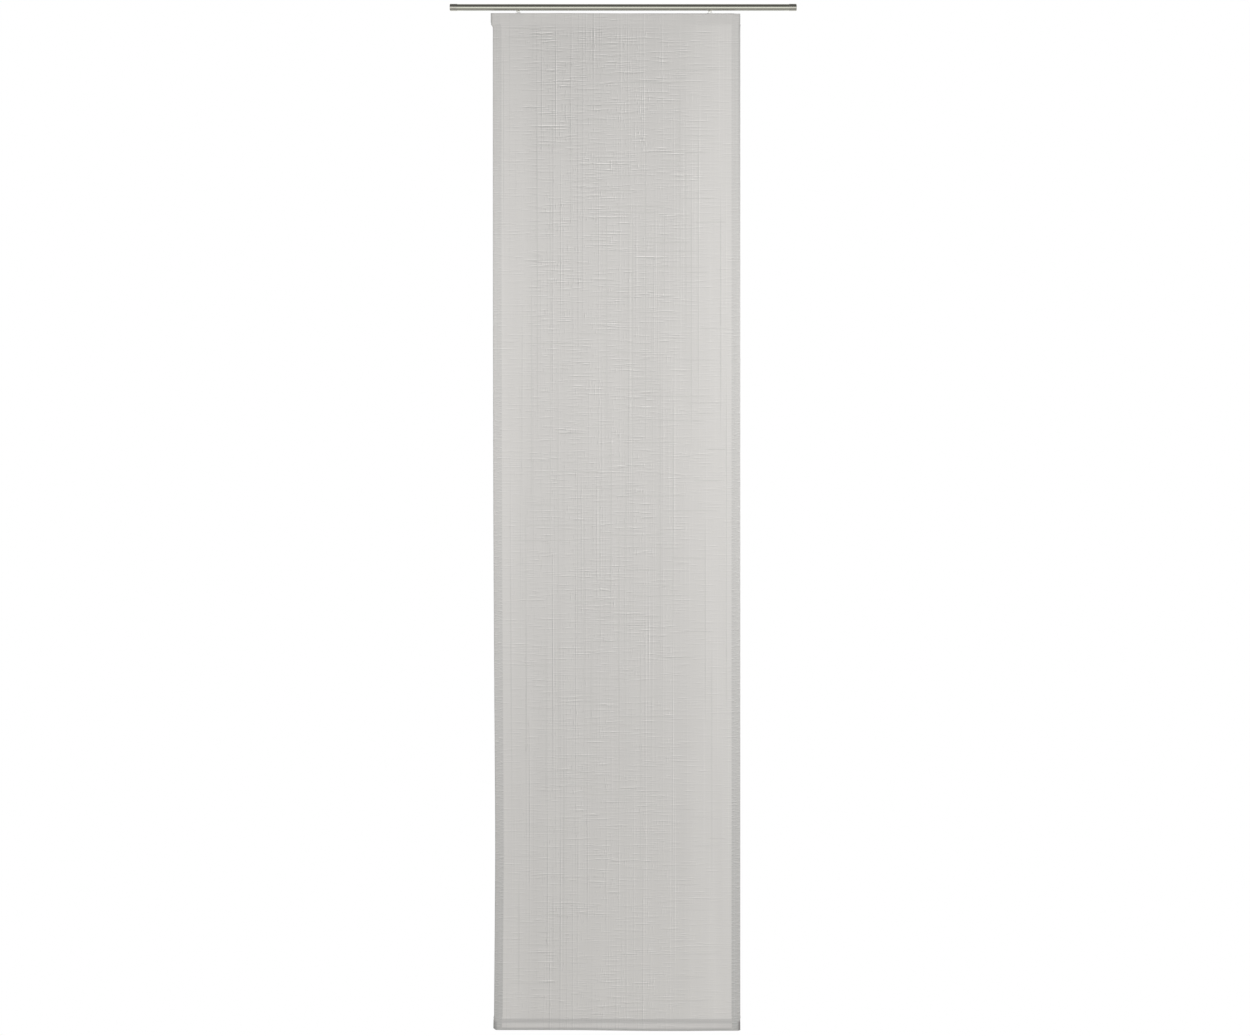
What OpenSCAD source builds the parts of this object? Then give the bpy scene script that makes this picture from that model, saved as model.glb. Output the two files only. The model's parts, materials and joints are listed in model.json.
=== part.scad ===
// Panel curtain: a flat cloth panel on a sliding carrier, hung from a slotted tube rail.
// Frame: X along the rail, Y to the back, Z up. The origin is the middle of the tube's axis.

/* [Rail] */
// Length of the slotted tube
rail_len = 800; // [720:10:2400]
// Outside diameter of the tube
rail_d = 16; // [15:0.5:20]
// Wall of the tube
rail_wall = 1; // [0.8:0.1:1.5]
// Width of the slot along the underside
rail_slot = 5; // [4.5:0.5:6]

/* [Rail end caps] */
// Length of a cap outside the tube
cap_len = 18; // [10:1:40]
// How far a cap stands proud of the tube all round
cap_lip = 0.6; // [0.4:0.1:2]
// Rounding of a cap's outer edge
cap_round = 2; // [0.5:0.5:3]
// Length of a cap's plug inside the tube
plug_len = 12; // [6:1:20]

/* [Gliders] */
// Distance of each glider from its end of the carrier
glider_in = 59; // [30:1:120]
// Length of a glider's head inside the tube
head_len = 16; // [14:1:24]
// Height of the head above the bottom of the tube's bore
head_h = 5; // [3:0.5:6]
// Length of the neck along the rail
neck_len = 7.5; // [5:0.5:12]
// Thickness of the neck in the slot
neck_t = 3.6; // [2.5:0.1:4]
// Length of the collar under the tube
collar_len = 9; // [8:0.5:14]
// Width of the collar across the rail
collar_w = 7; // [5:0.5:8]
// Height of the collar
collar_h = 2; // [1:0.2:2.4]
// Length of the clip along the carrier's bead
clip_len = 13; // [8:1:24]
// Wall of the clip
clip_wall = 1.3; // [1:0.1:1.6]
// Half the angle of the clip's mouth, measured from straight down
mouth_half_angle = 62; // [60:1:66]

/* [Carrier] */
// How much shorter than the cloth the carrier bar is
carrier_short = 16; // [10:1:60]
// Place of the carrier's middle, to the right of the cloth's middle
carrier_shift = -6; // [-8:1:8]
// Height of the carrier's plate
plate_h = 25; // [24:0.5:40]
// Thickness of the plate
plate_t = 2; // [1.6:0.1:3]
// Diameter of the bead that the gliders clip onto
bead_d = 4; // [3.6:0.1:4.4]
// Depth of the bead's axis below the rail's axis
bead_drop = 16.5; // [14.6:0.1:18]
// Thickness of the web between bead and plate
web_t = 1.6; // [1.2:0.1:1.7]
// Height of the web, from the bead's axis to the plate
web_h = 3; // [2.8:0.1:5]
// Height of the lips along the front edges of the plate
lip_h = 1.2; // [0.8:0.1:1.6]
// How far the lips stand out in front
lip_out = 0.8; // [0.4:0.1:1.2]
// Height of each stiffening rib on the back
rib_h = 1.6; // [1:0.1:3]
// How far the ribs stand out at the back
rib_out = 1.2; // [0.5:0.1:2]

/* [Carrier end caps] */
// Length of a cap's grip over the end of the plate
shoe_grip = 10; // [6:1:14]
// Wall of the cap
shoe_wall = 1.2; // [0.8:0.1:1.4]
// Thickness of the cap's end plate
shoe_end = 2.5; // [1:0.5:4]
// Rounding of the cap's long edges
shoe_round = 1; // [0.5:0.1:1.2]

/* [Hook and loop tapes] */
// Height of both tapes
tape_h = 20; // [12:1:21]
// Thickness of the hook tape on the carrier
hook_t = 1.4; // [1:0.1:2]
// Thickness of the loop tape on the cloth
loop_t = 1.6; // [1.4:0.1:2.5]
// Bare length that the tapes leave beside each carrier cap
tape_inset = 2; // [1:1:20]

/* [Cloth] */
// Finished width of the cloth
cloth_w = 596; // [570:1:660]
// Finished height of the cloth
cloth_h = 2450; // [1200:10:3000]
// Thickness of one layer
cloth_t = 0.6; // [0.4:0.1:0.8]
// Air left between folded layers
fold_gap = 0.2; // [0.1:0.05:0.3]
// Drop of the cloth's top edge below the underside of the tube
hang_gap = 5.5; // [5:0.5:8]
// Place of the cloth's middle, to the right of the rail's middle
cloth_shift = -16; // [-60:1:60]
// Height of the fold along the top edge
top_hem = 27; // [22:1:40]
// How far the stiff top band reaches past the left side seam
top_band_out = 6; // [1:0.5:8]
// Width of the turned hem down each side
side_hem = 21; // [14:1:30]
// Width of the raw edge tucked inside a side hem
side_tuck = 12; // [5:1:13]
// Height of the hem along the bottom edge
bottom_hem = 29; // [27:1:40]
// Height of the bottom seam above the bottom edge
seam_h = 22; // [21:0.5:24]

/* [Slub yarns] */
// Number of thick yarns that run up the cloth
warp_slubs = 34; // [10:1:40]
// Number of thick yarns that run across the cloth
weft_slubs = 130; // [20:1:140]
// Width of a thick yarn
slub_w = 1.4; // [0.8:0.1:2]
// How far an upright yarn stands out of the cloth
warp_rise = 0.25; // [0.1:0.05:0.4]
// How far a crosswise yarn stands out of the cloth
weft_rise = 0.35; // [0.15:0.05:0.5]

/* [Weight bar] */
// How much shorter than the cloth the weight bar is, without its caps
bar_short = 24; // [20:1:60]
// Height of the bar
bar_h = 16; // [12:0.5:16.5]
// Thickness of the bar
bar_t = 4; // [3:0.1:5]
// Wall of the hollow bar
bar_wall = 0.8; // [0.6:0.1:1]
// Length of a bar cap outside the bar
bar_cap_len = 5; // [3:0.5:8]
// Length of a bar cap's plug inside the bar
bar_plug_len = 9; // [5:1:14]

/* [Hidden] */

$fn = 64;
LEFT = -1;
RIGHT = 1;

// Clearances and the overrun of every cut
plug_gap = 0.1;
glider_gap = 0.3;
collar_gap = 0.4;
bead_play = 0.12;
shoe_gap = 0.1;
bar_play = 0.4;
bar_plug_gap = 0.1;
overrun = 1;

// Rail
rail_r = rail_d / 2;
bore_r = rail_r - rail_wall;
cap_r = rail_r + cap_lip;
plug_r = bore_r - plug_gap;

// Gliders
head_r = bore_r - glider_gap;
collar_top = -rail_r - collar_gap;
bead_r = bead_d / 2;
bead_z = -bead_drop;
clip_in_r = bead_r + bead_play;
clip_out_r = clip_in_r + clip_wall;

// Carrier, cut to suit the cloth
carrier_len = cloth_w - carrier_short;
carrier_x = cloth_shift + carrier_shift;
glider_pitch = carrier_len - 2 * glider_in;
plate_top = bead_z - web_h;
plate_bottom = plate_top - plate_h;
tape_z = plate_top - plate_h / 2;
tape_len = carrier_len - 2 * (shoe_grip + tape_inset);
hook_front = -plate_t / 2 - hook_t;
loop_front = hook_front - loop_t;
// Places of the stiffening ribs, as shares of the plate's height
rib_shares = [0.22, 0.78];

// Cloth: the folds' radii and the places of its layers
turn_r = cloth_t + fold_gap / 2;
hem_turn_r = 3 * cloth_t / 2 + fold_gap;
cloth_front = loop_front - 2 * turn_r;
cloth_top = -rail_r - hang_gap;
cloth_bottom = cloth_top - cloth_h;
hem_line = cloth_bottom + bottom_hem;
seam_line = cloth_bottom + seam_h;
band_line = cloth_top - top_hem;
second_layer = cloth_front + cloth_t + fold_gap;
third_layer = second_layer + cloth_t + fold_gap;
seam_y = cloth_front + cloth_t;

// Weight bar, cut to suit the cloth and hung below the bottom seam
bar_len = cloth_w - bar_short;
tunnel_in_r = bar_t / 2 + bar_play;
tunnel_out_r = tunnel_in_r + cloth_t;
bar_bottom = cloth_bottom + cloth_t + bar_play;
bar_side_h = bar_h - bar_t;

// Slub yarns: where they lie and how long they are, as shares of the cloth between its hems
slub_seed = 7;
slub_field_w = cloth_w - 2 * side_hem - 2 * slub_w;
slub_field_h = cloth_h - top_hem - bottom_hem - 2 * slub_w;
warp_length_shares = [0.1, 0.5];
weft_length_shares = [0.05, 0.35];
slub_jitter_share = 0.5;

// A profile drawn in Y and Z, run along the rail
module along_x(length)
    rotate([90, 0, 90])
        linear_extrude(height = length, center = true)
            children();

// A flat bar with round ends, seen from above
module stadium(length, width) {
    straight = length - width;
    square([straight, width], center = true);
    for (side = [LEFT, RIGHT])
        translate([side * straight / 2, 0])
            circle(d = width);
}

// A rectangle with round corners, drawn from its lower left corner
module rounded_rectangle(size, radius) {
    translate([radius, 0])
        square([size.x - 2 * radius, size.y]);
    translate([0, radius])
        square([size.x, size.y - 2 * radius]);
    for (x = [radius, size.x - radius], y = [radius, size.y - radius])
        translate([x, y])
            circle(r = radius);
}

// Half a ring of cloth, bulging to the right
module turn(radius)
    intersection() {
        difference() {
            circle(r = radius);
            circle(r = radius - cloth_t);
        }
        translate([0, -radius])
            square([radius, 2 * radius]);
    }

module rail_tube()
    color("#85857a")
        along_x(rail_len)
            difference() {
                circle(r = rail_r);
                circle(r = bore_r);
                translate([-rail_slot / 2, -rail_d])
                    square([rail_slot, rail_d]);
            }

module rail_end_cap_profile() {
    translate([0, -plug_len])
        square([plug_r, plug_len]);
    square([cap_r, cap_len - cap_round]);
    square([cap_r - cap_round, cap_len]);
    translate([cap_r - cap_round, cap_len - cap_round])
        circle(r = cap_round);
}

module rail_end_cap(side)
    color("#77776d")
        translate([side * rail_len / 2, 0, 0])
            rotate([0, side * 90, 0])
                rotate_extrude()
                    rail_end_cap_profile();

// The head is the lower part of a rod that fills the bore, with its ends rounded in plan
module glider_head()
    intersection() {
        along_x(head_len)
            intersection() {
                circle(r = head_r);
                translate([-head_r, -head_r])
                    square([2 * head_r, head_h]);
            }
        translate([0, 0, -rail_d])
            linear_extrude(height = rail_d)
                stadium(head_len, 2 * head_r);
    }

// A ring open at the bottom, with round tips, that snaps over the bead
module glider_clip() {
    mouth_reach = 3 * clip_out_r;
    translate([0, 0, bead_z])
        along_x(clip_len) {
            difference() {
                circle(r = clip_out_r);
                circle(r = clip_in_r);
                polygon([[0, 0],
                         mouth_reach * [-sin(mouth_half_angle), -cos(mouth_half_angle)],
                         mouth_reach * [sin(mouth_half_angle), -cos(mouth_half_angle)]]);
            }
            for (side = [LEFT, RIGHT])
                rotate(side * mouth_half_angle)
                    translate([0, -(clip_in_r + clip_out_r) / 2])
                        circle(d = clip_wall);
        }
}

module glider(side) {
    neck_top = -head_r + head_h / 2;
    neck_bottom = bead_z + (clip_in_r + clip_out_r) / 2;
    color("#eceae4")
        translate([carrier_x + side * glider_pitch / 2, 0, 0]) {
            glider_head();
            translate([0, 0, neck_bottom])
                linear_extrude(height = neck_top - neck_bottom)
                    stadium(neck_len, neck_t);
            translate([0, 0, collar_top - collar_h])
                linear_extrude(height = collar_h)
                    stadium(collar_len, collar_w);
            glider_clip();
        }
}

module carrier_profile() {
    translate([0, bead_z])
        circle(r = bead_r);
    translate([-web_t / 2, plate_top - plate_t])
        square([web_t, web_h + plate_t]);
    translate([-plate_t / 2, plate_bottom])
        square([plate_t, plate_h]);
    for (lip_z = [plate_bottom, plate_top - lip_h])
        translate([-plate_t / 2 - lip_out, lip_z])
            square([lip_out + plate_t / 2, lip_h]);
    for (share = rib_shares)
        translate([0, plate_bottom + share * plate_h - rib_h / 2])
            square([plate_t / 2 + rib_out, rib_h]);
}

module carrier_bar()
    color("#e6e6e2")
        translate([carrier_x, 0, 0])
            along_x(carrier_len)
                carrier_profile();

// A shoe pushed over the end of the plate, open at the top for the web
module carrier_end_cap(side) {
    inner_front = -plate_t / 2 - lip_out - shoe_gap;
    inner_back = plate_t / 2 + rib_out + shoe_gap;
    inner_bottom = plate_bottom - shoe_gap;
    inner_depth = inner_back - inner_front;
    outer_depth = inner_depth + 2 * shoe_wall;
    outer_h = plate_top - inner_bottom + shoe_wall;
    color("#e6e6e2")
        translate([carrier_x + side * carrier_len / 2, 0, 0])
            mirror([side == LEFT ? 1 : 0, 0, 0])
                difference() {
                    translate([(shoe_end - shoe_grip) / 2, 0, 0])
                        along_x(shoe_grip + shoe_end)
                            translate([inner_front - shoe_wall, inner_bottom - shoe_wall])
                                rounded_rectangle([outer_depth, outer_h], shoe_round);
                    translate([-shoe_grip - overrun, inner_front, inner_bottom])
                        cube([shoe_grip + overrun, inner_depth, plate_h + shoe_wall + overrun]);
                }
}

module tape(front, thickness)
    translate([carrier_x, front, tape_z - tape_h / 2])
        translate([-tape_len / 2, 0, 0])
            cube([tape_len, thickness, tape_h]);

module hook_tape()
    color("#d8d8d4")
        tape(hook_front, hook_t);

module loop_tape()
    color("#e2e1dc")
        tape(loop_front, loop_t);

// One side hem seen from above: a turned edge with the raw edge tucked inside it
module side_hem_profile() {
    edge = cloth_w / 2;
    inner_edge = edge - side_hem;
    translate([edge - hem_turn_r, cloth_front + hem_turn_r])
        turn(hem_turn_r);
    translate([inner_edge + turn_r, third_layer])
        square([side_hem - turn_r - hem_turn_r, cloth_t]);
    translate([inner_edge + turn_r, second_layer + turn_r])
        mirror([1, 0])
            turn(turn_r);
    translate([inner_edge + turn_r, second_layer])
        square([side_tuck - turn_r, cloth_t]);
}

// The flat of the cloth between the top band and the bottom hem, with both side hems
module cloth_field()
    translate([0, 0, hem_line])
        linear_extrude(height = band_line - hem_line) {
            translate([-cloth_w / 2 + hem_turn_r, cloth_front])
                square([cloth_w - 2 * hem_turn_r, cloth_t]);
            side_hem_profile();
            mirror([1, 0])
                side_hem_profile();
        }

// The top edge, turned to the back where the loop tape is sewn on
module cloth_top_band()
    translate([-top_band_out / 2, 0, 0])
        along_x(cloth_w + top_band_out) {
            for (layer = [cloth_front, second_layer])
                translate([layer, band_line])
                    square([cloth_t, top_hem - turn_r]);
            translate([cloth_front + turn_r, cloth_top - turn_r])
                rotate(90)
                    turn(turn_r);
        }

// Section of the tunnel: round at the bottom, straight beside the bar, drawn in to the seam
module tunnel_section(radius, apex_half) {
    straight_top = cloth_bottom + tunnel_out_r + bar_side_h;
    translate([seam_y, cloth_bottom + tunnel_out_r])
        circle(r = radius);
    translate([seam_y, 0])
        polygon([[-radius, cloth_bottom + tunnel_out_r], [radius, cloth_bottom + tunnel_out_r],
                 [radius, straight_top], [apex_half, seam_line],
                 [-apex_half, seam_line], [-radius, straight_top]]);
}

// The bottom hem: a tunnel for the weight bar under a sewn double strip
module cloth_bottom_hem()
    along_x(cloth_w) {
        difference() {
            tunnel_section(tunnel_out_r, cloth_t);
            tunnel_section(tunnel_in_r, 0);
        }
        translate([cloth_front, seam_line])
            square([2 * cloth_t, bottom_hem - seam_h]);
    }

// Thick yarns that lie proud of the weave, upright ones first
module slub_yarns() {
    warp = rands(0, 1, 3 * warp_slubs, slub_seed);
    weft = rands(0, 1, 3 * weft_slubs, slub_seed + 1);
    for (i = [0 : warp_slubs - 1]) {
        length_share = warp_length_shares[0]
            + warp[3 * i] * (warp_length_shares[1] - warp_length_shares[0]);
        place_share = (i + slub_jitter_share * warp[3 * i + 1]) / warp_slubs;
        start_share = (1 - length_share) * warp[3 * i + 2];
        translate([(place_share - 1 / 2) * slub_field_w, cloth_front - warp_rise,
                   hem_line + slub_w + start_share * slub_field_h])
            cube([slub_w, warp_rise + cloth_t / 2, length_share * slub_field_h]);
    }
    for (i = [0 : weft_slubs - 1]) {
        length_share = weft_length_shares[0]
            + weft[3 * i] * (weft_length_shares[1] - weft_length_shares[0]);
        place_share = (i + slub_jitter_share * weft[3 * i + 1]) / weft_slubs;
        start_share = (1 - length_share) * weft[3 * i + 2] - 1 / 2;
        translate([start_share * slub_field_w, cloth_front - weft_rise,
                   hem_line + slub_w + place_share * slub_field_h])
            cube([length_share * slub_field_w, weft_rise + cloth_t / 2, slub_w]);
    }
}

module cloth_panel()
    color("#c8c7c2")
        translate([cloth_shift, 0, 0]) {
            cloth_field();
            cloth_top_band();
            cloth_bottom_hem();
            slub_yarns();
        }

module bar_section(inset)
    translate([seam_y, bar_bottom + bar_h / 2])
        rotate(90)
            stadium(bar_h - 2 * inset, bar_t - 2 * inset);

module weight_bar()
    color("#d9d9d6")
        translate([cloth_shift, 0, 0])
            along_x(bar_len)
                difference() {
                    bar_section(0);
                    bar_section(bar_wall);
                }

module weight_bar_cap(side)
    color("#eceae4") {
        translate([cloth_shift + side * (bar_len + bar_cap_len) / 2, 0, 0])
            along_x(bar_cap_len)
                bar_section(0);
        translate([cloth_shift + side * (bar_len - bar_plug_len) / 2, 0, 0])
            along_x(bar_plug_len)
                bar_section(bar_wall + bar_plug_gap);
    }

rail_tube();
rail_end_cap(LEFT);  // rail_end_cap_left
rail_end_cap(RIGHT);  // rail_end_cap_right
glider(LEFT);  // glider_left
glider(RIGHT);  // glider_right
carrier_bar();
carrier_end_cap(LEFT);  // carrier_end_cap_left
carrier_end_cap(RIGHT);  // carrier_end_cap_right
hook_tape();
loop_tape();
cloth_panel();
weight_bar();
weight_bar_cap(LEFT);  // weight_bar_cap_left
weight_bar_cap(RIGHT);  // weight_bar_cap_right
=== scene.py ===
# %% [markdown]
# # A panel curtain
#
# A panel curtain is one flat length of cloth. Its top edge is stuck with hook and loop tape to a slim
# carrier bar, the carrier hangs by two clips from gliders, and the gliders run in a slotted round rail.
# A weight bar in the bottom hem keeps the cloth straight. The rigid pieces come from the CAD frame. This
# lesson sews the cloth, lays its thick yarns, stitches it, gives each piece its finish, and lights the
# whole as for a catalogue picture.
#
# The frame is in metres, X along the rail, Y away from the room and Z up, so the front of the cloth
# faces -Y.

import json
import math

import bpy
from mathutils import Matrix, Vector, noise


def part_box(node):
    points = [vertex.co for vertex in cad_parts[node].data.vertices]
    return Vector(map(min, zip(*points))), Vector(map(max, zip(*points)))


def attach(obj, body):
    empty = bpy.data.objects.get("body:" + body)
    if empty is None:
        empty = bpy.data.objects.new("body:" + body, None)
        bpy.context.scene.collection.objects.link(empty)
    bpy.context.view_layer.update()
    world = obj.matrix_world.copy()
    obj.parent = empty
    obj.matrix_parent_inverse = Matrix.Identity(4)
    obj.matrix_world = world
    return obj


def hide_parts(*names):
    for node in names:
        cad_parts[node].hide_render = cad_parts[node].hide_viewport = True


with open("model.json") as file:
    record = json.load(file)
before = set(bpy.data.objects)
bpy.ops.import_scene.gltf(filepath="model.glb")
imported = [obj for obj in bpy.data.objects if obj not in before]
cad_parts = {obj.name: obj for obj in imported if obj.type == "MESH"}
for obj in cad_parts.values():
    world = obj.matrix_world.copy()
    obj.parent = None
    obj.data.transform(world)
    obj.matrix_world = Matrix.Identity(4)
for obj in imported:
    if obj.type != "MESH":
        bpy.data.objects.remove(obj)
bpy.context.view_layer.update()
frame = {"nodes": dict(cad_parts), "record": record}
MM = 0.001

# %% [markdown]
# ## Sizes of the cloth
#
# The frame gives the cloth's outline and where its neighbours are. How the hems are turned is tailoring,
# so those sizes are written here as a seamstress would measure them.

# %% Cloth sizes
cloth_low, cloth_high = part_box("cloth_panel")
bar_low, bar_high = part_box("weight_bar")
tape_low, tape_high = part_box("loop_tape")

LAYER = 0.6 * MM            # thickness of the cloth
AIR = 0.2 * MM              # air between folded layers
SIDE_HEM = 21 * MM
SIDE_TUCK = 12 * MM         # raw edge tucked inside the side hem
TOP_HEM = 27 * MM
BOTTOM_HEM = 29 * MM
SEAM_UP = 22 * MM           # bottom seam above the bottom edge
BAR_PLAY = 0.4 * MM
BAND_OUT = 6 * MM           # how far the stiff top band reaches past the left side

right = cloth_high.x
left = cloth_low.x + BAND_OUT
middle = (left + right) / 2
width = right - left
top = cloth_high.z
bottom = cloth_low.z
height = top - bottom
band_line = top - TOP_HEM
hem_line = bottom + BOTTOM_HEM
seam_line = bottom + SEAM_UP

turn = LAYER / 2 + AIR / 2  # middle radius of a tight fold, one layer on the next
hem_turn = LAYER + AIR  # middle radius of the side fold, with a layer tucked inside it
sheet_y = tape_low.y - LAYER / 2 - 2 * turn  # middle of the front layer
cloth_front = sheet_y - LAYER / 2
print(f"cloth {width / MM:.0f} by {height / MM:.0f} mm, front layer at y {sheet_y / MM:.2f} mm")

# %% [markdown]
# ## The sheet
#
# The real panel is cut flat, its sides are turned twice and sewn, its top is turned once over the tape
# and its foot is turned up into a tunnel. A grid is the flat cut, and each hem is its border edge extruded
# again and again along the path that the fold takes. One sheet with real folds keeps its soft round edges
# from every side. A cloth simulation would only hang it straight again, because the weight bar pulls the
# cloth flat.

# %% Helpers for edge work
X, Y, Z = Vector((1, 0, 0)), Vector((0, 1, 0)), Vector((0, 0, 1))


def deselect_everything():
    if bpy.context.mode != "OBJECT":
        bpy.ops.object.mode_set(mode="OBJECT")
    bpy.ops.object.select_all(action="DESELECT")


def select_edges(obj, chosen):
    """Selects, in Edit Mode, the edges whose two ends together pass the test."""
    bpy.ops.object.mode_set(mode="OBJECT")
    mesh = obj.data
    for items in (mesh.vertices, mesh.edges, mesh.polygons):
        items.foreach_set("select", [False] * len(items))
    for edge in mesh.edges:
        a, b = (mesh.vertices[i].co for i in edge.vertices)
        edge.select = chosen(a, b)
    bpy.context.tool_settings.mesh_select_mode = (False, True, False)
    bpy.ops.object.mode_set(mode="EDIT")


def extrude_along(path):
    """Extrudes the selected edges from each point of the path to the next."""
    for here, there in zip(path, path[1:]):
        bpy.ops.mesh.extrude_region_move(TRANSFORM_OT_translate={"value": there - here})


def arc(centre, first, last, radius, across, up, steps):
    """Points of an arc. Angles are in degrees from the direction across towards the direction up."""
    angles = [math.radians(first + (last - first) * i / steps) for i in range(steps + 1)]
    return [centre + radius * (math.cos(a) * across + math.sin(a) * up) for a in angles]


def run(start, end, steps):
    """Points along a straight run, without its first point."""
    return [start.lerp(end, i / steps) for i in range(1, steps + 1)]


# %% The flat cut
COLUMNS, ROWS = 100, 360
TOUCH = 0.01 * MM
field_half = width / 2 - hem_turn - LAYER / 2
deselect_everything()
bpy.ops.mesh.primitive_grid_add(
    x_subdivisions=COLUMNS, y_subdivisions=ROWS, size=1,
    location=(middle, sheet_y, (band_line + hem_line) / 2), rotation=(math.pi / 2, 0, 0),
)
cloth = bpy.context.object
cloth.name = "cloth_sheet"
cloth.scale = (2 * field_half, band_line - hem_line, 1)
bpy.ops.object.transform_apply()
print("flat cut:", len(cloth.data.polygons), "faces")


def front_edge(line):
    """A test for the border of the front layer at one height."""
    return lambda *ends: all(abs(e.z - line) < TOUCH and abs(e.y - sheet_y) < TOUCH for e in ends)


# %% Side hems, turned twice to the back
for side in (-1, 1):
    outward = side * X
    edge_x = middle + side * field_half
    select_edges(cloth, lambda *ends: all(abs(e.x - edge_x) < TOUCH for e in ends))
    start = Vector((edge_x, sheet_y, 0))
    path = arc(start + hem_turn * Y, -90, 90, hem_turn, outward, Y, steps=6)
    inner_x = middle + side * (width / 2 - SIDE_HEM) + side * (turn + LAYER / 2)
    path += run(path[-1], Vector((inner_x, path[-1].y, 0)), steps=3)
    path += arc(path[-1] - turn * Y, 90, -90, turn, -outward, Y, steps=4)[1:]
    path += run(path[-1], path[-1] + (SIDE_TUCK - turn) * outward, steps=2)
    extrude_along(path)
bpy.ops.object.mode_set(mode="OBJECT")
print("with side hems:", len(cloth.data.polygons), "faces")

# %% Top band, turned once to the back
select_edges(cloth, front_edge(band_line))
path = [Vector((0, sheet_y, band_line))]
path += run(path[-1], Vector((0, sheet_y, top - turn - LAYER / 2)), steps=6)
path += arc(path[-1] + turn * Y, 180, 0, turn, Y, Z, steps=6)[1:]
path += run(path[-1], Vector((0, path[-1].y, band_line)), steps=4)
extrude_along(path)
print("top band:", len(path) - 1, "steps round the fold")

# %% Bottom hem, a tunnel round the weight bar
FOOT_SWELL = 0.8 * MM       # how far the tunnel's front swells past the bar
SWELL_STEPS = 6
bar_half = (bar_high.y - bar_low.y) / 2
seam_y = sheet_y + LAYER / 2
tunnel = bar_half + BAR_PLAY + LAYER / 2  # middle radius of the tunnel's foot
foot = Vector((0, seam_y, bottom + tunnel + LAYER / 2))
shoulder = bar_high.z - bar_half
select_edges(cloth, front_edge(hem_line))
path = [Vector((0, sheet_y, hem_line))]
path += run(path[-1], Vector((0, sheet_y, seam_line)), steps=3)
path += run(path[-1], Vector((0, seam_y - tunnel, shoulder)), steps=4)
swelling = run(path[-1], foot - tunnel * Y, SWELL_STEPS)
path += [point - FOOT_SWELL * math.sin(math.pi * i / SWELL_STEPS) * Y
         for i, point in enumerate(swelling, 1)]
path += arc(foot, 180, 360, tunnel, Y, Z, steps=12)[1:]
path += run(path[-1], Vector((0, seam_y + tunnel, shoulder)), steps=4)
path += run(path[-1], Vector((0, sheet_y + LAYER + AIR / 2, seam_line)), steps=4)
path += run(path[-1], Vector((0, path[-1].y, hem_line)), steps=3)
extrude_along(path)
bpy.ops.mesh.select_all(action="SELECT")
bpy.ops.mesh.normals_make_consistent(inside=False)
bpy.ops.object.mode_set(mode="OBJECT")
heart = Vector((middle, sheet_y, (top + bottom) / 2))
front = min(cloth.data.polygons, key=lambda face: (face.center - heart).length)
if front.normal.y > 0:
    cloth.data.flip_normals()
print("sewn sheet:", len(cloth.data.polygons), "faces")

# %% [markdown]
# ## How it hangs
#
# A real panel isn't a ruled rectangle. The stiff top band sticks out at the left, the left side draws in
# by a few millimetres towards the foot, the top edge sags a little to the right, the foot's corners are
# round, and the cloth has slow shallow waves and small puckers beside its seams. All of that is one smooth
# field of small moves, so that every layer, every thick yarn and every stitch follows it alike. Before it
# moves, each point keeps its flat place as an attribute, and the weave is drawn by that.

# %% Sizes of the small moves
SIDE_DRAW = 5.7 * MM        # deepest pull of the left side
DRAW_AT = 0.82              # where it is deepest, in heights from the top
DRAW_ABOVE, DRAW_BELOW = 0.25, 0.22  # how far it spreads from there, in heights
DRAW_FADE = 1.5             # how steeply it fades
BAND_REACH = 6.2 * MM       # left end of the top band past the side seam
BAND_BELOW, BAND_ABOVE = 9 * MM, 4 * MM  # the band stiffens from below its line to above it
FOOT_REACH = 2.4 * MM       # left end of the stiff foot past the side seam
FOOT_ABOVE, FOOT_STIFFENS = 8 * MM, 14 * MM  # the foot stiffens from above the hem's line, over this
END_REACH = 1.1 * MM        # right ends of the band and the foot, out to the side's fold
STIFF_END = 45 * MM         # length over which a stiff end reaches out
TOP_DROP = 0.8 * MM         # drop of the top edge below the tape's line
TOP_SAG = 1.3 * MM          # how much lower it hangs at the right
TOP_SAG_ALONG = 0.33, 0.68  # where that begins and ends, in widths from the left
TOP_DROP_FROM, TOP_DROP_TO = 60 * MM, 5 * MM  # below the top, where the drop begins and is whole
FOOT_DROP = 0.5 * MM        # drop of the foot at its left end
FOOT_SAG = 2.2 * MM         # how much lower it hangs right of the middle
FOOT_SAG_ALONG = 0.25, 0.72
FOOT_RISE = 0.7 * MM        # how far the foot's right end comes up again
FOOT_RISE_ALONG = 0.75, 0.95
CLOTH_SAG = 0.35            # share of the sag in the cloth above the foot, the tunnel takes the rest
CLOTH_SAG_FROM, CLOTH_SAG_OVER = 200 * MM, 160 * MM  # how far up it begins, and over what length
FOOT_EDGE = 5 * MM          # lowest part of the tunnel, where the sag is whole
ROUND_LEFT, ROUND_RIGHT = 9 * MM, 4 * MM  # corners of the foot

# %% Sizes of waves and puckers
WAVE = 0.9 * MM             # depth of the slow waves
# Each wave's share of that depth, its length, its lean down the panel and its start
WAVES = ((0.6, 270 * MM, 1.6, 0.4), (0.4, 150 * MM, -2.3, 2.0))
SLOW_SHARE = 0.8            # depth of the slow unevenness, against the waves
SLOW_ACROSS, SLOW_DOWN = 5.0, 2.2  # its patches to the metre
FREE_AT_TOP = 0.012, 0.12   # where the cloth begins to be free and is wholly so, in heights
FREE_AT_FOOT = 0.015, 0.12
SEAM_IN = 14 * MM           # side seam, in from the edge
PUCKER = 0.3 * MM           # depth of the puckers at the seams
PUCKER_LENGTH = 26 * MM
PUCKER_WIDE = 50 * MM
PUCKER_REACH = 12 * MM      # how far from a side seam they fade
FOOT_SEAM_UP = 2 * MM       # foot stitches, above the tunnel's seam
SEAM_DIP = 0.8 * MM         # how far the stitches pull the cloth in above the foot
SEAM_REACH = 5 * MM         # how far from the stitches that dip begins
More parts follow.
